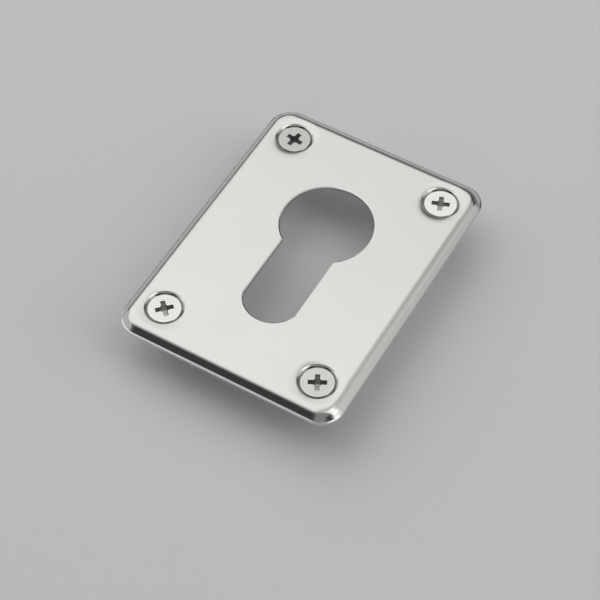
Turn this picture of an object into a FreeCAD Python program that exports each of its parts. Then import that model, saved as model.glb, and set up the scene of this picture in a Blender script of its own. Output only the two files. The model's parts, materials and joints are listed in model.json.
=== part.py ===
import FreeCAD, Part
import math
import os

from FreeCAD import Vector

# Pressed keyhole plate for a profile lock cylinder, held by four countersunk screws.
# Millimetres. The door surface is z = 0 and the outer face looks up along +Z.
# The origin is the middle of the plate, and +Y points to the round end of the keyhole.

# Plate
PLATE_WIDTH = 45.0
PLATE_LENGTH = 60.0
SHEET_THICKNESS = 0.8
FACE_HEIGHT = 1.9
RIM_CORNER_RADIUS = 4.4
RIM_INSIDE_BEND_RADIUS = 1.5
BEVEL_ANGLE = 45.0
LIP_WIDTH = 0.24
LIP_SLOPE = 25.0
LIP_EDGE_HEIGHT = 0.55

# Keyhole
KEYHOLE_DIAMETER = 17.5
KEYHOLE_LENGTH = 33.5
LEG_WIDTH = 10.7
LEG_END_FLATTENING = 0.2
LEG_END_BLEND_RADIUS = 1.0
KEYHOLE_CORNER_RADIUS = 0.5
KEYHOLE_EDGE_ROLL_WIDTH = 0.25
KEYHOLE_EDGE_ROLL_DEPTH = 0.08

# Screw places, measured from the plate's outer edges
SCREW_INSET_X = 6.75
SCREW_INSET_Y = 7.0

# Screws
SCREW_LENGTH = 10.0
NECK_DIAMETER = 3.4
NECK_LENGTH = 1.2
CORE_DIAMETER = 2.3
TIP_LENGTH = 2.2
TIP_FLAT_DIAMETER = 0.3
HEAD_DIAMETER = 6.2
HEAD_CONE_ANGLE = 90.0
HEAD_RIM_HEIGHT = 0.15
HEAD_EDGE_CHAMFER = 0.06
HEAD_SINK = 0.3

# Cross recess in each head
RECESS_SPAN = 3.4
RECESS_FLOOR_SPAN = 1.3
RECESS_WING_WIDTH = 0.92
RECESS_DEPTH = 1.5
RECESS_CORE_DIAMETER = 1.7
RECESS_CORE_FLOOR_DIAMETER = 0.6

# How far each recess is turned from the plate's width, in degrees
RECESS_TURN_TOP_LEFT = -9.0
RECESS_TURN_TOP_RIGHT = 20.0
RECESS_TURN_BOTTOM_LEFT = 45.0
RECESS_TURN_BOTTOM_RIGHT = 28.0

# Dimples that the screw heads sit in, with the slight sag of the sheet round them
DIMPLE_SAG_RADIUS = 6.0
DIMPLE_SAG_ANGLE = 4.5
DIMPLE_EDGE_WIDTH = 0.28
DIMPLE_EDGE_SLOPE = 25.0
SHANK_HOLE_DIAMETER = 4.2

# How far a cutting tool runs past the faces that it opens
CUT_OVERRUN = 1.0

Z_AXIS = Vector(0, 0, 1)


def face_from(edges):
    """A flat face inside a closed run of edges."""
    return Part.Face(Part.Wire(edges))


def polygon_face(corners):
    """A flat face with straight sides between its corners."""
    return Part.Face(Part.makePolygon(corners + corners[:1]))


def line(start, end):
    return Part.makeLine(start, end)


def bend(centre, radius, start_angle, end_angle):
    """An arc in the XZ plane, with angles in radians from +X towards +Z."""
    def at(angle):
        return centre + Vector(math.cos(angle), 0, math.sin(angle)) * radius

    middle_angle = (start_angle + end_angle) / 2
    return Part.Arc(at(start_angle), at(middle_angle), at(end_angle)).toShape()


def lip_inner_height():
    """Height at which the bevel flattens out into the narrow sloping lip."""
    return LIP_EDGE_HEIGHT + LIP_WIDTH * math.tan(math.radians(LIP_SLOPE))


def rim_bend_inset():
    """Distance from the plate's outer edge to where the flat face begins to bend down."""
    angle = math.radians(BEVEL_ANGLE)
    outside_radius = RIM_INSIDE_BEND_RADIUS + SHEET_THICKNESS
    bend_drop = outside_radius * (1 - math.cos(angle))
    bevel_drop = FACE_HEIGHT - lip_inner_height() - bend_drop
    return LIP_WIDTH + bevel_drop / math.tan(angle) + outside_radius * math.sin(angle)


def rim_section():
    """Section of the folded rim, with x counted outwards from a corner's own axis."""
    angle = math.radians(BEVEL_ANGLE)
    upright = math.pi / 2
    outer_x = RIM_CORNER_RADIUS
    bend_x = outer_x - rim_bend_inset()
    outside_radius = RIM_INSIDE_BEND_RADIUS + SHEET_THICKNESS
    centre = Vector(bend_x, 0, FACE_HEIGHT - outside_radius)
    outer_bend = bend(centre, outside_radius, upright, upright - angle)
    inner_bend = bend(centre, RIM_INSIDE_BEND_RADIUS, upright - angle, upright)
    outer_bend_end = outer_bend.Vertexes[-1].Point
    inner_bend_start = inner_bend.Vertexes[0].Point
    lip_inner = Vector(outer_x - LIP_WIDTH, 0, lip_inner_height())
    lip_edge = Vector(outer_x, 0, LIP_EDGE_HEIGHT)
    lip_foot = Vector(outer_x, 0, 0)
    foot_x = inner_bend_start.x + inner_bend_start.z / math.tan(angle)
    inner_foot = Vector(foot_x, 0, 0)
    face_top = Vector(bend_x, 0, FACE_HEIGHT)
    face_under = Vector(bend_x, 0, FACE_HEIGHT - SHEET_THICKNESS)
    return face_from([
        outer_bend,
        line(outer_bend_end, lip_inner),
        line(lip_inner, lip_edge),
        line(lip_edge, lip_foot),
        line(lip_foot, inner_foot),
        line(inner_foot, inner_bend_start),
        inner_bend,
        line(face_under, face_top),
    ])


def folded_rim():
    """Four straight folds and four turned corners, all with the same section."""
    section = rim_section()
    corner_x = PLATE_WIDTH / 2 - RIM_CORNER_RADIUS
    corner_y = PLATE_LENGTH / 2 - RIM_CORNER_RADIUS
    corners = [
        Vector(corner_x, corner_y, 0),
        Vector(-corner_x, corner_y, 0),
        Vector(-corner_x, -corner_y, 0),
        Vector(corner_x, -corner_y, 0),
    ]
    pieces = []
    for index, corner in enumerate(corners):
        before = corners[index - 1]
        start_turn = 90.0 * index
        side = section.rotated(Vector(0, 0, 0), Z_AXIS, start_turn)
        side.translate(before)
        pieces.append(side.extrude(corner - before))
        turned = section.rotated(Vector(0, 0, 0), Z_AXIS, start_turn)
        turned.translate(corner)
        pieces.append(turned.revolve(corner, Z_AXIS, 90.0))
    return pieces


def rounded_rectangle_prism(width, length, corner_radius, bottom_z, height):
    """An upright block with rounded corners, centred on the origin."""
    block = Part.makeBox(width, length, height, Vector(-width / 2, -length / 2, bottom_z))
    upright_edges = [edge for edge in block.Edges if edge.BoundBox.ZLength > height / 2]
    return block.makeFillet(corner_radius, upright_edges)


def flat_panel():
    """The flat face of the plate, inside the folded rim."""
    inset = rim_bend_inset()
    return rounded_rectangle_prism(
        PLATE_WIDTH - 2 * inset,
        PLATE_LENGTH - 2 * inset,
        RIM_CORNER_RADIUS - inset,
        FACE_HEIGHT - SHEET_THICKNESS,
        SHEET_THICKNESS,
    )


def seat_slope():
    """Slope of the head's cone and of the dimple that it sits in, in radians."""
    return math.radians(90.0 - HEAD_CONE_ANGLE / 2)


def seat_cone_top():
    return FACE_HEIGHT - HEAD_SINK - HEAD_RIM_HEIGHT


def seat_cone_z(radius):
    """Height of the seat cone at a radius from the screw's axis."""
    return seat_cone_top() - (HEAD_DIAMETER / 2 - radius) * math.tan(seat_slope())


def seat_cone_radius(height):
    """Radius of the seat cone at a height."""
    return HEAD_DIAMETER / 2 + (height - seat_cone_top()) / math.tan(seat_slope())


def sag_width():
    return DIMPLE_SAG_RADIUS * math.sin(math.radians(DIMPLE_SAG_ANGLE))


def sag_drop():
    return DIMPLE_SAG_RADIUS * (1 - math.cos(math.radians(DIMPLE_SAG_ANGLE)))


def dimple_edge_radius():
    """Radius at which the dimple's broken edge meets the seat cone."""
    edge_drop = DIMPLE_EDGE_WIDTH * math.tan(math.radians(DIMPLE_EDGE_SLOPE))
    return seat_cone_radius(FACE_HEIGHT - sag_drop() - edge_drop)


def dimple_outer_radius():
    """Radius at which the flat face begins to sag towards a dimple."""
    return dimple_edge_radius() + DIMPLE_EDGE_WIDTH + sag_width()


def dimple():
    """A turned ring of sheet, pressed down around a screw hole until it meets the door."""
    upright = math.pi / 2
    outer_x = dimple_outer_radius()
    edge_x = dimple_edge_radius()
    hole_x = SHANK_HOLE_DIAMETER / 2
    sag_centre = Vector(outer_x, 0, FACE_HEIGHT - DIMPLE_SAG_RADIUS)
    sag_end_angle = upright + math.radians(DIMPLE_SAG_ANGLE)
    sag = bend(sag_centre, DIMPLE_SAG_RADIUS, upright, sag_end_angle)
    sag_end = sag.Vertexes[-1].Point
    edge_foot = Vector(edge_x, 0, seat_cone_z(edge_x))
    hole_top = Vector(hole_x, 0, seat_cone_z(hole_x))
    sheet_along_hole = SHEET_THICKNESS / math.cos(seat_slope())
    hole_foot = hole_top - Vector(0, 0, sheet_along_hole)
    under_z = FACE_HEIGHT - SHEET_THICKNESS - sag_drop()
    under_corner = Vector(seat_cone_radius(under_z + sheet_along_hole), 0, under_z)
    face_top = Vector(outer_x, 0, FACE_HEIGHT)
    face_under = Vector(outer_x, 0, FACE_HEIGHT - SHEET_THICKNESS)
    section = face_from([
        sag,
        line(sag_end, edge_foot),
        line(edge_foot, hole_top),
        line(hole_top, hole_foot),
        line(hole_foot, under_corner),
        line(under_corner, face_under),
        line(face_under, face_top),
    ])
    ring = section.revolve(Vector(0, 0, 0), Z_AXIS, 360.0)
    door_depth = sheet_along_hole + CUT_OVERRUN
    door = Part.makeCylinder(outer_x, door_depth, Vector(0, 0, -door_depth))
    return ring.cut(door)


def with_rounded_upright_edges(shape, edge_y, radius):
    """The shape with its upright edges at one distance along Y rounded."""
    edges = [
        edge for edge in shape.Edges
        if edge.BoundBox.ZLength > SHEET_THICKNESS
        and abs(edge.CenterOfMass.y - edge_y) < radius / 2
    ]
    return shape.makeFillet(radius, edges)


def keyhole_circle_y():
    return (KEYHOLE_LENGTH - KEYHOLE_DIAMETER) / 2


def keyhole_cutter():
    """Round hole and leg with a slightly flattened round end, through the whole sheet."""
    bottom_z = FACE_HEIGHT - SHEET_THICKNESS - CUT_OVERRUN
    depth = SHEET_THICKNESS + 2 * CUT_OVERRUN
    circle_y = keyhole_circle_y()
    half_leg = LEG_WIDTH / 2
    end_radius = half_leg + LEG_END_FLATTENING
    end_y = -KEYHOLE_LENGTH / 2
    end_centre_y = end_y + end_radius
    end_corner_y = end_centre_y - math.sqrt(end_radius ** 2 - half_leg ** 2)
    round_hole = Part.makeCylinder(KEYHOLE_DIAMETER / 2, depth, Vector(0, circle_y, bottom_z))
    upper_left = Vector(-half_leg, circle_y, bottom_z)
    upper_right = Vector(half_leg, circle_y, bottom_z)
    lower_left = Vector(-half_leg, end_corner_y, bottom_z)
    lower_right = Vector(half_leg, end_corner_y, bottom_z)
    end_arc = Part.Arc(lower_left, Vector(0, end_y, bottom_z), lower_right).toShape()
    leg_face = face_from([
        line(upper_left, lower_left),
        end_arc,
        line(lower_right, upper_right),
        line(upper_right, upper_left),
    ])
    leg = leg_face.extrude(Vector(0, 0, depth))
    whole = round_hole.fuse(leg).removeSplitter()
    neck_y = circle_y - math.sqrt((KEYHOLE_DIAMETER / 2) ** 2 - half_leg ** 2)
    blended = with_rounded_upright_edges(whole, neck_y, KEYHOLE_CORNER_RADIUS)
    return with_rounded_upright_edges(blended, end_corner_y, LEG_END_BLEND_RADIUS)


def with_rolled_keyhole_edge(panel):
    """The panel with the keyhole's edge drawn down on the face side, as a punch leaves it."""
    keyhole_edges = [
        edge for edge in panel.Edges
        if edge.BoundBox.ZMin > FACE_HEIGHT - SHEET_THICKNESS / 2
        and edge.BoundBox.XMax < KEYHOLE_DIAMETER / 2 + KEYHOLE_CORNER_RADIUS
        and edge.BoundBox.XMin > -KEYHOLE_DIAMETER / 2 - KEYHOLE_CORNER_RADIUS
        and edge.BoundBox.YMax < KEYHOLE_LENGTH / 2 + KEYHOLE_CORNER_RADIUS
        and edge.BoundBox.YMin > -KEYHOLE_LENGTH / 2 - KEYHOLE_CORNER_RADIUS
    ]
    return panel.makeChamfer(KEYHOLE_EDGE_ROLL_WIDTH, KEYHOLE_EDGE_ROLL_DEPTH, keyhole_edges)


def screw_places():
    """The four screw centres by the name of their corner, with each recess's turn."""
    x = PLATE_WIDTH / 2 - SCREW_INSET_X
    y = PLATE_LENGTH / 2 - SCREW_INSET_Y
    return {
        "top_left": (Vector(-x, y, 0), RECESS_TURN_TOP_LEFT),
        "top_right": (Vector(x, y, 0), RECESS_TURN_TOP_RIGHT),
        "bottom_left": (Vector(-x, -y, 0), RECESS_TURN_BOTTOM_LEFT),
        "bottom_right": (Vector(x, -y, 0), RECESS_TURN_BOTTOM_RIGHT),
    }


def escutcheon_plate():
    """One pressed sheet: flat face, folded rim, four dimples and the keyhole."""
    panel = flat_panel()
    hole_depth = SHEET_THICKNESS + 2 * CUT_OVERRUN
    hole_z = FACE_HEIGHT - SHEET_THICKNESS - CUT_OVERRUN
    dimples = []
    for centre, _turn in screw_places().values():
        room = Part.makeCylinder(dimple_outer_radius(), hole_depth, centre + Vector(0, 0, hole_z))
        panel = panel.cut(room)
        dimples.append(dimple().translated(centre))
    panel = with_rolled_keyhole_edge(panel.cut(keyhole_cutter()))
    return panel.multiFuse(folded_rim() + dimples).removeSplitter()


def screw_blank():
    """A turned countersunk screw without its recess, on the Z axis, tip down."""
    top_z = FACE_HEIGHT - HEAD_SINK
    tip_z = top_z - SCREW_LENGTH
    head_x = HEAD_DIAMETER / 2
    neck_x = NECK_DIAMETER / 2
    core_x = CORE_DIAMETER / 2
    tip_x = TIP_FLAT_DIAMETER / 2
    neck_top_z = seat_cone_z(neck_x)
    neck_foot_z = neck_top_z - NECK_LENGTH
    outline = [
        Vector(0, 0, top_z),
        Vector(head_x - HEAD_EDGE_CHAMFER, 0, top_z),
        Vector(head_x, 0, top_z - HEAD_EDGE_CHAMFER),
        Vector(head_x, 0, seat_cone_z(head_x)),
        Vector(neck_x, 0, neck_top_z),
        Vector(neck_x, 0, neck_foot_z),
        Vector(core_x, 0, neck_foot_z - (neck_x - core_x)),
        Vector(core_x, 0, tip_z + TIP_LENGTH),
        Vector(tip_x, 0, tip_z),
        Vector(0, 0, tip_z),
    ]
    return polygon_face(outline).revolve(Vector(0, 0, 0), Z_AXIS, 360.0)


def recess_wing(top_z):
    """One tapered slot of the cross recess, along X."""
    half_span = RECESS_SPAN / 2
    half_floor = RECESS_FLOOR_SPAN / 2
    floor_z = top_z - RECESS_DEPTH
    above_z = top_z + CUT_OVERRUN
    start_y = -RECESS_WING_WIDTH / 2
    corners = [
        Vector(-half_span, start_y, above_z),
        Vector(-half_span, start_y, top_z),
        Vector(-half_floor, start_y, floor_z),
        Vector(half_floor, start_y, floor_z),
        Vector(half_span, start_y, top_z),
        Vector(half_span, start_y, above_z),
    ]
    return polygon_face(corners).extrude(Vector(0, RECESS_WING_WIDTH, 0))


def cross_recess():
    """Two crossed wings round a tapered core, as the cutter for a screw head."""
    top_z = FACE_HEIGHT - HEAD_SINK
    wing = recess_wing(top_z)
    crossed_wing = wing.rotated(Vector(0, 0, 0), Z_AXIS, 90.0)
    core = Part.makeCone(
        RECESS_CORE_FLOOR_DIAMETER / 2,
        RECESS_CORE_DIAMETER / 2,
        RECESS_DEPTH,
        Vector(0, 0, top_z - RECESS_DEPTH),
    )
    mouth = Part.makeCylinder(RECESS_CORE_DIAMETER / 2, CUT_OVERRUN, Vector(0, 0, top_z))
    return wing.multiFuse([crossed_wing, core, mouth])


def screw(centre, recess_turn):
    """One screw in its place, with its cross recess turned as it came to rest."""
    recess = cross_recess().rotated(Vector(0, 0, 0), Z_AXIS, recess_turn)
    return screw_blank().cut(recess).translated(centre)


def main():
    os.makedirs("parts", exist_ok=True)
    escutcheon_plate().exportStep("parts/escutcheon_plate.step")
    for name, (centre, turn) in screw_places().items():
        screw(centre, turn).exportStep("parts/screw_" + name + ".step")


main()
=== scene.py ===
import json
import math

import bpy
from mathutils import Matrix, Quaternion, Vector


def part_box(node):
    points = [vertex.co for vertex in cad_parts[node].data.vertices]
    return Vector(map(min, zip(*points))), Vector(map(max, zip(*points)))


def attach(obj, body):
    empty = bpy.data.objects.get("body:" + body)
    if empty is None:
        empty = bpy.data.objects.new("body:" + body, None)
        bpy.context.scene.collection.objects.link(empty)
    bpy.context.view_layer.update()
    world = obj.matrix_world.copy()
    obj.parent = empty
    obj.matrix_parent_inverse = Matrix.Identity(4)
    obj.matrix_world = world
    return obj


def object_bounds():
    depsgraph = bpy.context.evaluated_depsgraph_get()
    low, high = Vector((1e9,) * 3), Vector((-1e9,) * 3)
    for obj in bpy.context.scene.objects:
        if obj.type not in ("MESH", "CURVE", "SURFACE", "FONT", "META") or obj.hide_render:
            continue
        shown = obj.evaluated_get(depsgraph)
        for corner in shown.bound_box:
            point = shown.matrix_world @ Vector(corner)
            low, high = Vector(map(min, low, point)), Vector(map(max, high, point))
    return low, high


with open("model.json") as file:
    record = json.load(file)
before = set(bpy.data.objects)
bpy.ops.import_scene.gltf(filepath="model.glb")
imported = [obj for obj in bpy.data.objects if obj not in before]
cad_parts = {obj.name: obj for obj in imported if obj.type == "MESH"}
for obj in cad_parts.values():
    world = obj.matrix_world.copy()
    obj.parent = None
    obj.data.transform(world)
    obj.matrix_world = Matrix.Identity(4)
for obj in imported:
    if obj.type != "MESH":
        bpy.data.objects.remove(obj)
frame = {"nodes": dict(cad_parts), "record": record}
cad_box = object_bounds()

# Looks of a pressed keyhole plate and its four screws: satin sheet steel, brighter turned steel
# and the screws' threads. Metres, in the frame of the steel pieces.
MM = 0.001

# The photograph's view, fitted to the keyhole, the rim and the screw heads
CAMERA_PLACE = Vector((103.69, -179.17, 272.50)) * MM
CAMERA_AIM = Vector((4.37, -9.45, 1.90)) * MM
CAMERA_LENS = 112.2
CAMERA_ROLL = math.radians(0.17)
CAMERA_CLIP_START = 10 * MM

# Places and sizes that the frame gives
FACE_Z = cad_box[1][2]
SCREW_PATTERN = next(mount["dims"] for mount in frame["record"]["mounts"] if mount["name"] == "screws")
SCREW_SPACING_X = SCREW_PATTERN["spacing_x_mm"] * MM
SCREW_SPACING_Y = SCREW_PATTERN["spacing_y_mm"] * MM
THREAD_OUTER_RADIUS = SCREW_PATTERN["stud_r_mm"] * MM
SCREW_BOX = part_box("screw_top_left")
TIP_Z = SCREW_BOX[0][2]
HEAD_TOP_Z = SCREW_BOX[1][2]

# Screw sizes, as on the steel pieces
RECESS_RADIUS = 1.8 * MM
RECESS_FLOOR_Z = 0.1 * MM
CORE_RADIUS = 1.15 * MM
TIP_RADIUS = 0.15 * MM
TIP_LENGTH = 2.2 * MM

# The thread ridge: it rises over its first half turn and shrinks with a power of the tip's taper
THREAD_TOP_Z = -1.4 * MM
THREAD_END_Z = -8.05 * MM
THREAD_PITCH = 1.35 * MM
THREAD_FLANK_WIDTH = 0.6 * MM
THREAD_CREST_SHARE = 0.12
THREAD_SEAT = 0.06 * MM
THREAD_RUN_IN_TURNS = 0.5
THREAD_TIP_POWER = 0.5
THREAD_STEPS = 220
THREAD_SIZES = {
    "Spacing X": SCREW_SPACING_X,
    "Spacing Y": SCREW_SPACING_Y,
    "Top Z": THREAD_TOP_Z,
    "End Z": THREAD_END_Z,
    "Tip Start Z": TIP_Z + TIP_LENGTH,
    "Tip Z": TIP_Z,
    "Core Radius": CORE_RADIUS,
    "Tip Radius": TIP_RADIUS,
    "Ridge Height": THREAD_OUTER_RADIUS - CORE_RADIUS,
    "Pitch": THREAD_PITCH,
    "Flank Width": THREAD_FLANK_WIDTH,
    "Seat": THREAD_SEAT,
}

# Steel grain and mottling: the detail and roughness of their noise
STEEL_NOISE = {"Grain": (3.0, 0.65), "Mottle": (2.0, 0.5)}

# The plate's satin steel: tones from dark to light, and roughness from low to high
PLATE_TONES = ((0.685, 0.69, 0.665, 1), (0.717, 0.722, 0.697, 1))
PLATE_ROUGHNESS = (0.17, 0.25)
PLATE_GRAIN_SCALE = 5200.0
PLATE_MOTTLE_SCALE = 70.0
PLATE_GRAIN_HEIGHT = 0.02 * MM
PLATE_GRAIN_STRENGTH = 0.04

# The soft hollow that the pressing leaves in the sheet round each dimple
HOLLOW_INNER_RADIUS = 2.75 * MM
HOLLOW_OUTER_RADIUS = 5.25 * MM
HOLLOW_DEPTH = 0.225 * MM

# Painted shade: a dark ring on each dimple round its head, where the gap between head and sheet lies in
# shade
SEAT_SHADE_RADIUS = 3.32 * MM
SEAT_SHADE_BLUR = 0.12 * MM
SEAT_SHADE_TONE = (0.48, 0.48, 0.48, 1)

# The keyhole's cut edge, below the face and within the opening's own reach: duller, rougher steel,
# darkened with painted shade
CUT_EDGE_TOP_Z = FACE_Z - 0.07 * MM
CUT_EDGE_REACH_X = 9.0 * MM
CUT_EDGE_REACH_Y = 17.0 * MM
CUT_EDGE_PAINTED_SHADE_TONE = (0.5, 0.5, 0.5, 1)
CUT_EDGE_ROUGHNESS = 0.45

# The screws' brighter steel: each screw's lightest tone, and its dark clouding as a share of it. The
# tones differ from screw to screw as painted light and shade, for heads that catch the light differently
SCREW_PAINTED_LIGHT_TONES = {
    "screw_top_left": 0.61,
    "screw_top_right": 0.91,
    "screw_bottom_left": 0.83,
    "screw_bottom_right": 0.67,
}
SCREW_TINT = Vector((1.0, 1.007, 0.97))
SCREW_CLOUDING = 0.94
SCREW_ROUGHNESS = (0.2, 0.26)
SCREW_GRAIN_SCALE = 2400.0
SCREW_MOTTLE_SCALE = 260.0
THREAD_STEEL = "screw_bottom_right"

# The turning rings on a head; at scale 1 the ring wave repeats at its own period
RING_SPACING = 0.45 * MM
RING_WAVE_PERIOD = math.pi / 10
RING_DISTORTION = 1.2
RING_DETAIL = 2.0
RING_DETAIL_SCALE = 2.0
RING_TONE = (0.84, 0.84, 0.84, 1)
RING_HEIGHT = 0.01 * MM
RING_STRENGTH = 0.3

# The punched recess in a head: duller steel, with painted shade that is darkest near its rim; it sets in
# below the head's top
RECESS_ONSET = (0.01 * MM, 0.08 * MM)
RECESS_FLOOR_MARGIN = 0.02 * MM
RECESS_RIM_DEPTH = 0.5 * MM
RECESS_PAINTED_SHADE_TONES = (0.25, 0.72)
RECESS_ROUGHNESS = 0.38
RECESS_METALLIC = 0.9

# Studio
FLOOR_SIZE = 3.0
FLOOR_COLOUR = (0.78, 0.78, 0.785, 1)
FLOOR_ROUGHNESS = 0.9
FLOOR_SPECULAR = 0.1
HORIZON_COLOUR = (0.52, 0.52, 0.52, 1)
HORIZON_HEIGHT = 0.03
ROOM_COLOUR = (0.028, 0.028, 0.028, 1)
# Each soft light: a corner, its two sides in metres, and its brightness
SOFT_LIGHTS = {
    "overhead": ((-0.1, -0.28, 1.0), (0.4, 0, 0), (0, 0.7, 0), 0.55),
    "overhead_right": ((0.3, -0.17, 1.0), (0.7, 0, 0), (0, 0.57, 0), 1.35),
    "overhead_front": ((-0.1, -1.0, 1.0), (1.1, 0, 0), (0, 0.72, 0), 0.24),
    "overhead_back": ((-0.02, 0.42, 1.0), (0.32, 0, 0), (0, 0.5, 0), 0.68),
    "back_left": ((-0.1, 0.42, 1.0), (0.08, 0, 0), (0, 0.68, 0), 1.2),
    "back_right": ((0.3, 0.4, 1.0), (0.4, 0, 0), (0, 0.73, 0), 0.48),
    "back_far": ((0.7, 0.4, 1.0), (0.3, 0, 0), (0, 0.73, 0), 0.62),
    "left": ((-0.1, -0.37, 1.0), (0, 0.95, 0), (-0.9, 0, -0.46), 1.07),
    "left_front": ((-0.1, -0.6, 1.0), (0, 0.23, 0), (-0.9, 0, -0.46), 0.45),
    "left_back": ((-0.1, 0.58, 1.0), (0, 0.52, 0), (-0.9, 0, -0.46), 0.96),
    "right_band": ((1.5, -0.25, 0.6), (0, 0.85, 0), (0, 0, 0.9), 1.6),
    "right_far": ((1.5, 0.6, 0.6), (0, 1.1, 0), (0, 0, 0.9), 0.66),
    "right_low": ((1.5, -0.1, 0.05), (0, 0.9, 0), (0, 0, 0.55), 0.82),
    "right_low_back": ((1.5, 0.8, 0.05), (0, 0.9, 0), (0, 0, 0.55), 0.56),
    "back_low": ((-1.4, 1.7, 0.05), (2.9, 0, 0), (0, 0, 0.8), 0.2),
    "front_right": ((0.0, -1.0, 0.5), (1.1, 0, 0), (0, 0, 0.5), 0.24),
    "left_low": ((-1.5, -1.85, 0.0), (0, 2.2, 0), (0, 0, 0.7), 0.56),
    "left_front_wall": ((-1.0, -1.23, 0.47), (0, 0.63, 0), (0, 0, 0.36), 0.6),
    "left_far": ((-1.5, 0.35, 0.42), (0, 0.95, 0), (0, 0, 0.43), 0.66),
    "front_low": ((-1.4, -1.4, 0.02), (1.4, 0, 0), (0, 0, 0.33), 0.5),
    "front_right_low": ((0.0, -1.4, 0.02), (1.7, 0, 0), (0, 0, 0.68), 0.42),
}

# Kinds of socket that the node groups have
NUMBER = "NodeSocketFloat"
VECTOR = "NodeSocketVector"
GEOMETRY = "NodeSocketGeometry"


def feed(tree, node, inputs):
    """Each input, by name or number, gets a plain value or a link from another node's output."""
    for name, given in inputs.items():
        if isinstance(given, bpy.types.NodeSocket):
            tree.links.new(given, node.inputs[name])
        else:
            node.inputs[name].default_value = given


def add_node(tree, kind, inputs=None, **settings):
    """A node with its own settings and with its inputs fed."""
    node = tree.nodes.new(kind)
    for name, setting in settings.items():
        setattr(node, name, setting)
    feed(tree, node, inputs or {})
    return node


def calculate(tree, operation, *numbers):
    """The result of a calculation with values or outputs."""
    node = add_node(tree, "ShaderNodeMath", dict(enumerate(numbers)), operation=operation)
    return node.outputs["Value"]


def calculate_vector(tree, operation, *vectors, result="Vector"):
    """The result of a calculation with vectors."""
    node = add_node(tree, "ShaderNodeVectorMath", dict(enumerate(vectors)), operation=operation)
    return node.outputs[result]


def map_range(tree, value, old=(0.0, 1.0), new=(0.0, 1.0), **settings):
    """A value moved from an old range to a new one."""
    inputs = {"Value": value, "From Min": old[0], "From Max": old[1], "To Min": new[0], "To Max": new[1]}
    return add_node(tree, "ShaderNodeMapRange", inputs, **settings).outputs["Result"]


def mix(tree, share, first, second, **settings):
    """A value between two others."""
    inputs = {"Factor": share, "A": first, "B": second}
    return add_node(tree, "ShaderNodeMix", inputs, **settings).outputs["Result"]


def mix_colour(tree, share, first, second, blend_type="MIX"):
    """A colour between two others, or the first multiplied by a share of the second."""
    return mix(tree, share, first, second, data_type="RGBA", blend_type=blend_type)


def raise_surface(tree, height, distance, strength=1.0, **normal):
    """The normal of a surface raised by a height, over its own normal or another."""
    inputs = {"Height": height, "Distance": distance, "Strength": strength, **normal}
    return add_node(tree, "ShaderNodeBump", inputs).outputs["Normal"]


def point(tree, x=0.0, y=0.0, z=0.0):
    """A vector from three values or outputs."""
    return add_node(tree, "ShaderNodeCombineXYZ", {"X": x, "Y": y, "Z": z}).outputs["Vector"]


def split(tree, vector):
    """The X, Y and Z of a vector."""
    return add_node(tree, "ShaderNodeSeparateXYZ", {"Vector": vector}).outputs


def new_group(name, kind, inputs, outputs):
    """A node group with named inputs and outputs; returns it with what comes in and its end."""
    group = bpy.data.node_groups.new(name, kind)
    for direction, sockets in {"INPUT": inputs, "OUTPUT": outputs}.items():
        for socket_name, socket_type in sockets.items():
            group.interface.new_socket(socket_name, in_out=direction, socket_type=socket_type)
    return group, add_node(group, "NodeGroupInput").outputs, add_node(group, "NodeGroupOutput")


def place_group(tree, group, inputs):
    """A shader group placed in a tree with its inputs fed; returns its outputs."""
    return add_node(tree, "ShaderNodeGroup", inputs, node_tree=group).outputs


def new_material(name):
    """A node material; returns it with its tree, its shader and a point's place on the object."""
    material = bpy.data.materials.new(name)
    material.use_nodes = True
    tree = material.node_tree
    place = add_node(tree, "ShaderNodeTexCoord").outputs["Object"]
    return material, tree, tree.nodes["Principled BSDF"], place


def steel_surface_group():
    """Fine satin grain and slow mottling, shared by the plate and the screws."""
    group, given, end = new_group(
        "steel_surface", "ShaderNodeTree",
        inputs={"Vector": VECTOR, "Grain Scale": NUMBER, "Mottle Scale": NUMBER},
        outputs={"Grain": NUMBER, "Mottle": NUMBER},
    )
    for name, (detail, roughness) in STEEL_NOISE.items():
        noise = add_node(
            group, "ShaderNodeTexNoise",
            inputs={
                "Vector": given["Vector"], "Scale": given[name + " Scale"],
                "Detail": detail, "Roughness": roughness,
            },
        )
        feed(group, end, {name: noise.outputs["Fac"]})
    return group


def screw_axis_group():
    """Distance from the nearest screw's axis, and the flat vector away from it."""
    group, given, end = new_group(
        "screw_axis", "ShaderNodeTree",
        inputs={"Vector": VECTOR}, outputs={"Away": VECTOR, "Radius": NUMBER},
    )
    nearest_axis = (SCREW_SPACING_X / 2, SCREW_SPACING_Y / 2, 0)
    folded = calculate_vector(group, "ABSOLUTE", given["Vector"])
    centred = calculate_vector(group, "SUBTRACT", folded, nearest_axis)
    away = calculate_vector(group, "MULTIPLY", centred, (1, 1, 0))
    radius = calculate_vector(group, "LENGTH", away, result="Value")
    feed(group, end, {"Away": away, "Radius": radius})
    return group


def cut_edge_group():
    """Mask of the keyhole's cut edge, which lies below the face inside the opening's reach; the plate
    makes it rougher and darkens it with painted shade.
    """
    group, given, end = new_group(
        "keyhole_cut_edge", "ShaderNodeTree", inputs={"Vector": VECTOR}, outputs={"Cut Edge": NUMBER},
    )
    place = split(group, given["Vector"])
    mask = 1.0
    for axis, reach in {"X": CUT_EDGE_REACH_X, "Y": CUT_EDGE_REACH_Y, "Z": CUT_EDGE_TOP_Z}.items():
        distance = calculate(group, "ABSOLUTE", place[axis])
        within = calculate(group, "LESS_THAN", distance, reach)
        mask = calculate(group, "MULTIPLY", mask, within)
    feed(group, end, {"Cut Edge": mask})
    return group


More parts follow.
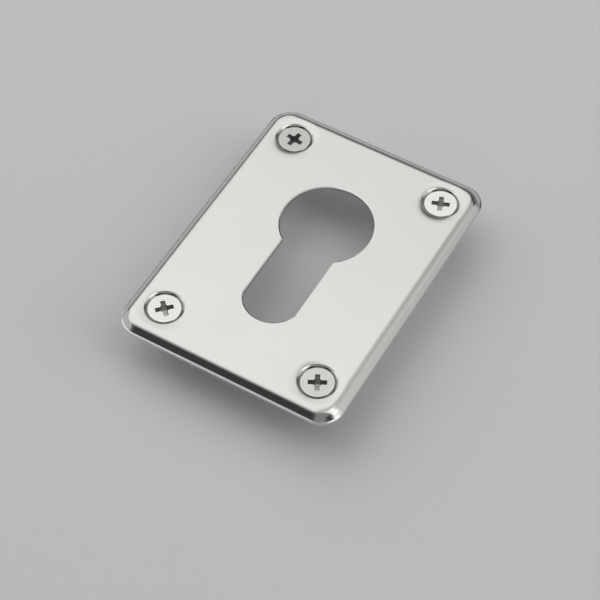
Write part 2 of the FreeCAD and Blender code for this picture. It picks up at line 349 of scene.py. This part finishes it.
def satin_plate_steel(surface, screw_axis):
    """Satin stainless sheet: even grey, fine grain, softly hollowed round the dimples, with painted
    shade round each head and on the keyhole's cut edge.
    """
    material, tree, shader, place = new_material("satin_plate_steel")
    screw_radius = place_group(tree, screw_axis, {"Vector": place})["Radius"]
    cut_edge = place_group(tree, cut_edge_group(), {"Vector": place})["Cut Edge"]
    steel = place_group(
        tree, surface,
        inputs={
            "Vector": place, "Grain Scale": PLATE_GRAIN_SCALE, "Mottle Scale": PLATE_MOTTLE_SCALE,
        },
    )
    clouded = mix_colour(tree, steel["Mottle"], *PLATE_TONES)
    # Painted shade: the sheet darkens inside the seat radius round each head
    seat_shade = map_range(tree, screw_radius, old=(SEAT_SHADE_RADIUS + SEAT_SHADE_BLUR, SEAT_SHADE_RADIUS))
    seat_shaded = mix_colour(tree, seat_shade, clouded, SEAT_SHADE_TONE, "MULTIPLY")
    satin = map_range(tree, steel["Grain"], new=PLATE_ROUGHNESS)
    hollow = map_range(
        tree, screw_radius, old=(HOLLOW_INNER_RADIUS, HOLLOW_OUTER_RADIUS),
        interpolation_type="SMOOTHSTEP",
    )
    hollowed = raise_surface(tree, hollow, HOLLOW_DEPTH)
    shader.inputs["Metallic"].default_value = 1.0
    feed(
        tree, shader,
        inputs={
            # Painted shade: the keyhole's cut edge is darkened, as well as made rougher
            "Base Color": mix_colour(tree, cut_edge, seat_shaded, CUT_EDGE_PAINTED_SHADE_TONE),
            "Roughness": mix(tree, cut_edge, satin, CUT_EDGE_ROUGHNESS),
            "Normal": raise_surface(
                tree, steel["Grain"], PLATE_GRAIN_HEIGHT, PLATE_GRAIN_STRENGTH, Normal=hollowed,
            ),
        },
    )
    return material


def screw_head_group(screw_axis):
    """Masks of the turning rings on a screw's head and of its punched recess, and the recess's painted
    shade.
    """
    group, given, end = new_group(
        "screw_head_marks", "ShaderNodeTree", inputs={"Vector": VECTOR},
        outputs={"Rings": NUMBER, "Recess": NUMBER, "Recess Painted Shade": NUMBER},
    )
    screw = place_group(group, screw_axis, {"Vector": given["Vector"]})
    rings = add_node(
        group, "ShaderNodeTexWave", wave_type="RINGS", rings_direction="SPHERICAL",
        inputs={
            "Vector": screw["Away"], "Scale": RING_WAVE_PERIOD / RING_SPACING,
            "Distortion": RING_DISTORTION, "Detail": RING_DETAIL, "Detail Scale": RING_DETAIL_SCALE,
        },
    )
    height = split(group, given["Vector"])["Z"]
    below_top = map_range(group, height, old=[HEAD_TOP_Z - depth for depth in RECESS_ONSET])
    within = calculate(group, "LESS_THAN", screw["Radius"], RECESS_RADIUS)
    above_floor = calculate(group, "GREATER_THAN", height, RECESS_FLOOR_Z - RECESS_FLOOR_MARGIN)
    inner = calculate(group, "MULTIPLY", below_top, within)
    feed(
        group, end,
        inputs={
            "Rings": rings.outputs["Fac"],
            "Recess": calculate(group, "MULTIPLY", inner, above_floor),
            # Painted shade in the recess, darkest at its rim and lighter deeper down
            "Recess Painted Shade": map_range(
                group, height, old=(HEAD_TOP_Z, HEAD_TOP_Z - RECESS_RIM_DEPTH), new=RECESS_PAINTED_SHADE_TONES,
            ),
        },
    )
    return group


def bright_screw_steel(name, painted_light_tone, surface, head_marks):
    """Bright steel, its tone carrying each screw's painted light and shade, with faint turning rings on
    the head and a duller punched recess darkened with painted shade.
    """
    material, tree, shader, place = new_material(name)
    marks = place_group(tree, head_marks, {"Vector": place})
    steel = place_group(
        tree, surface,
        inputs={
            "Vector": place, "Grain Scale": SCREW_GRAIN_SCALE, "Mottle Scale": SCREW_MOTTLE_SCALE,
        },
    )
    # Each screw's tone is painted light and shade, set per screw
    light_steel = SCREW_TINT * painted_light_tone
    dark_steel = light_steel * SCREW_CLOUDING
    clouded = mix_colour(tree, steel["Mottle"], (*dark_steel, 1), (*light_steel, 1))
    ringed = mix_colour(tree, marks["Rings"], clouded, RING_TONE, "MULTIPLY")
    satin = map_range(tree, steel["Grain"], new=SCREW_ROUGHNESS)
    feed(
        tree, shader,
        inputs={
            # The recess is duller steel, and its tone is darkened by painted shade
            "Base Color": mix_colour(tree, marks["Recess"], ringed, marks["Recess Painted Shade"], "MULTIPLY"),
            "Roughness": mix(tree, marks["Recess"], satin, RECESS_ROUGHNESS),
            "Metallic": mix(tree, marks["Recess"], 1.0, RECESS_METALLIC),
            "Normal": raise_surface(tree, marks["Rings"], RING_HEIGHT, RING_STRENGTH),
        },
    )
    return material


def pale_floor_paper():
    """Plain pale studio paper."""
    material = bpy.data.materials.new("pale_floor_paper")
    material.use_nodes = True
    shader = material.node_tree.nodes["Principled BSDF"]
    shader.inputs["Base Color"].default_value = FLOOR_COLOUR
    shader.inputs["Roughness"].default_value = FLOOR_ROUGHNESS
    shader.inputs["Specular IOR Level"].default_value = FLOOR_SPECULAR
    return material


def finish_steel():
    """The steel finishes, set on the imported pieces; returns the one for the threads."""
    surface = steel_surface_group()
    screw_axis = screw_axis_group()
    head_marks = screw_head_group(screw_axis)
    steels = {"escutcheon_plate": satin_plate_steel(surface, screw_axis)}
    # One copy of the screw steel per screw, each lit and shaded by its own painted tone
    for name, tone in SCREW_PAINTED_LIGHT_TONES.items():
        steels[name] = bright_screw_steel(name + "_steel", tone, surface, head_marks)
    for name, steel in steels.items():
        frame["nodes"][name].material_slots[0].material = steel
    return steels[THREAD_STEEL]


def thread_path(tree, size):
    """The line that a thread ridge follows round its core, with the ridge's share of its height."""
    axis = add_node(
        tree, "GeometryNodeCurvePrimitiveLine",
        inputs={"Start": point(tree, z=size["Top Z"]), "End": point(tree, z=size["End Z"])},
    )
    steps = add_node(
        tree, "GeometryNodeResampleCurve",
        inputs={"Curve": axis.outputs["Curve"], "Count": THREAD_STEPS},
    )
    height = split(tree, add_node(tree, "GeometryNodeInputPosition").outputs["Position"])["Z"]
    below_top = calculate(tree, "SUBTRACT", size["Top Z"], height)
    turns = calculate(tree, "DIVIDE", below_top, size["Pitch"])
    angle = calculate(tree, "MULTIPLY", turns, math.tau)

    above_tip = calculate(tree, "SUBTRACT", height, size["Tip Z"])
    tip_length = calculate(tree, "SUBTRACT", size["Tip Start Z"], size["Tip Z"])
    taper = calculate(tree, "MINIMUM", calculate(tree, "DIVIDE", above_tip, tip_length), 1.0)
    core_over_tip = calculate(tree, "SUBTRACT", size["Core Radius"], size["Tip Radius"])
    radius = calculate(tree, "MULTIPLY_ADD", taper, core_over_tip, size["Tip Radius"])
    wound = point(
        tree,
        x=calculate(tree, "MULTIPLY", radius, calculate(tree, "COSINE", angle)),
        y=calculate(tree, "MULTIPLY", radius, calculate(tree, "SINE", angle)),
        z=height,
    )
    helix = add_node(
        tree, "GeometryNodeSetPosition", {"Geometry": steps.outputs["Curve"], "Position": wound},
    )
    upright = add_node(
        tree, "GeometryNodeSetCurveNormal", {"Curve": helix.outputs["Geometry"]}, mode="Z_UP",
    )

    run_in = calculate(tree, "MINIMUM", calculate(tree, "DIVIDE", turns, THREAD_RUN_IN_TURNS), 1.0)
    fade = calculate(tree, "POWER", taper, THREAD_TIP_POWER)
    faded = add_node(
        tree, "GeometryNodeSetCurveRadius",
        inputs={
            "Curve": upright.outputs["Curve"],
            "Radius": calculate(tree, "MULTIPLY", run_in, fade),
        },
    )
    return faded.outputs["Curve"]


def thread_section(tree, size):
    """The outline of a thread ridge: let a little into the core, and narrow at the crest."""
    seat = calculate(tree, "MULTIPLY", size["Seat"], -1.0)
    half_flank = calculate(tree, "DIVIDE", size["Flank Width"], 2.0)
    half_crest = calculate(tree, "MULTIPLY", half_flank, THREAD_CREST_SHARE)
    section = add_node(
        tree, "GeometryNodeCurvePrimitiveQuadrilateral", mode="POINTS",
        inputs={
            "Point 1": point(tree, seat, half_flank),
            "Point 2": point(tree, size["Ridge Height"], half_crest),
            "Point 3": point(tree, size["Ridge Height"], calculate(tree, "MULTIPLY", half_crest, -1.0)),
            "Point 4": point(tree, seat, calculate(tree, "MULTIPLY", half_flank, -1.0)),
        },
    )
    return section.outputs["Curve"]


def thread_tree(screw_material):
    """Node tree that winds a thread ridge round each of the four screw cores."""
    tree, size, end = new_group(
        "screw_thread_ridges", "GeometryNodeTree",
        inputs={name: NUMBER for name in THREAD_SIZES}, outputs={"Geometry": GEOMETRY},
    )
    ridge = add_node(
        tree, "GeometryNodeCurveToMesh",
        inputs={
            "Curve": thread_path(tree, size), "Profile Curve": thread_section(tree, size),
            "Fill Caps": True,
        },
    )
    corners = add_node(
        tree, "GeometryNodeMeshGrid",
        inputs={
            "Size X": size["Spacing X"], "Size Y": size["Spacing Y"],
            "Vertices X": 2, "Vertices Y": 2,
        },
    )
    four = add_node(
        tree, "GeometryNodeInstanceOnPoints",
        inputs={"Points": corners.outputs["Mesh"], "Instance": ridge.outputs["Mesh"]},
    )
    realized = add_node(
        tree, "GeometryNodeRealizeInstances", {"Geometry": four.outputs["Instances"]},
    )
    finish = add_node(
        tree, "GeometryNodeSetMaterial",
        inputs={"Geometry": realized.outputs["Geometry"], "Material": screw_material},
    )
    feed(tree, end, {"Geometry": finish.outputs["Geometry"]})
    return tree


def screw_threads(screw_material):
    """The four thread ridges as one plain mesh that rides with the screws."""
    holder = bpy.data.objects.new("thread_maker", bpy.data.meshes.new("thread_maker"))
    bpy.context.scene.collection.objects.link(holder)
    modifier = holder.modifiers.new("threads", "NODES")
    modifier.node_group = thread_tree(screw_material)
    for socket in modifier.node_group.interface.items_tree:
        if socket.in_out == "INPUT":
            modifier[socket.identifier] = THREAD_SIZES[socket.name]
    holder.update_tag()
    evaluated = holder.evaluated_get(bpy.context.evaluated_depsgraph_get())
    mesh = bpy.data.meshes.new_from_object(evaluated)
    holder.modifiers.remove(modifier)
    bpy.data.objects.remove(holder)
    mesh.name = "screw_threads"
    mesh.materials.clear()
    mesh.materials.append(screw_material)
    threads = bpy.data.objects.new("screw_threads", mesh)
    bpy.context.scene.collection.objects.link(threads)
    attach(threads, "root")


def floor(lowest_z):
    """A wide pale floor under the screw tips."""
    half = FLOOR_SIZE / 2
    mesh = bpy.data.meshes.new("floor")
    corners = [(-half, -half), (half, -half), (half, half), (-half, half)]
    mesh.from_pydata([(x, y, lowest_z) for x, y in corners], [], [(0, 1, 2, 3)])
    mesh.materials.append(pale_floor_paper())
    paper = bpy.data.objects.new("floor", mesh)
    bpy.context.scene.collection.objects.link(paper)


def softbox(name, corner, one_side, other_side, brightness):
    """A rectangular soft light between two sides from a corner, facing the plate."""
    across, up = Vector(one_side), Vector(other_side)
    middle = Vector(corner) + (across + up) / 2
    back = across.cross(up).normalized()
    if back.dot(middle) < 0:
        across = -across
        back = -back
    lamp = bpy.data.lights.new(name, "AREA")
    lamp.shape = "RECTANGLE"
    lamp.size = across.length
    lamp.size_y = up.length
    lamp.energy = brightness * math.pi * across.length * up.length
    box = bpy.data.objects.new(name, lamp)
    turn = Matrix((across.normalized(), up.normalized(), back)).transposed().to_4x4()
    box.matrix_world = Matrix.Translation(middle) @ turn
    bpy.context.scene.collection.objects.link(box)


def studio_world():
    """Dark grey room behind the lights, seen as pale as the floor from the horizon down."""
    world = bpy.data.worlds.new("studio")
    world.use_nodes = True
    tree = world.node_tree
    direction = add_node(tree, "ShaderNodeTexCoord").outputs["Generated"]
    lowness = map_range(
        tree, split(tree, direction)["Z"], old=(HORIZON_HEIGHT, 0.0), interpolation_type="SMOOTHSTEP",
    )
    ray = add_node(tree, "ShaderNodeLightPath").outputs
    seen = 0.0
    for kind in ("Is Camera Ray", "Is Glossy Ray", "Is Transmission Ray"):
        seen = calculate(tree, "MAXIMUM", seen, ray[kind])
    paleness = calculate(tree, "MULTIPLY", lowness, seen)
    shade = mix_colour(tree, paleness, ROOM_COLOUR, HORIZON_COLOUR)
    feed(tree, tree.nodes["Background"], {"Color": shade})
    bpy.context.scene.world = world


def camera():
    """The camera at the photograph's viewing angle."""
    lens = bpy.data.cameras.new("camera")
    lens.lens = CAMERA_LENS
    lens.clip_start = CAMERA_CLIP_START
    view = bpy.data.objects.new("camera", lens)
    view.location = CAMERA_PLACE
    upright = (CAMERA_AIM - CAMERA_PLACE).to_track_quat("-Z", "Y")
    rolled = upright @ Quaternion((0, 0, 1), -CAMERA_ROLL)
    view.rotation_euler = rolled.to_euler()
    bpy.context.scene.collection.objects.link(view)
    bpy.context.scene.camera = view


camera()
studio_world()
for light_name, light in SOFT_LIGHTS.items():
    softbox(light_name, *light)
screw_threads(finish_steel())
floor(cad_box[0][2])

bpy.context.scene.view_settings.view_transform = "Standard"
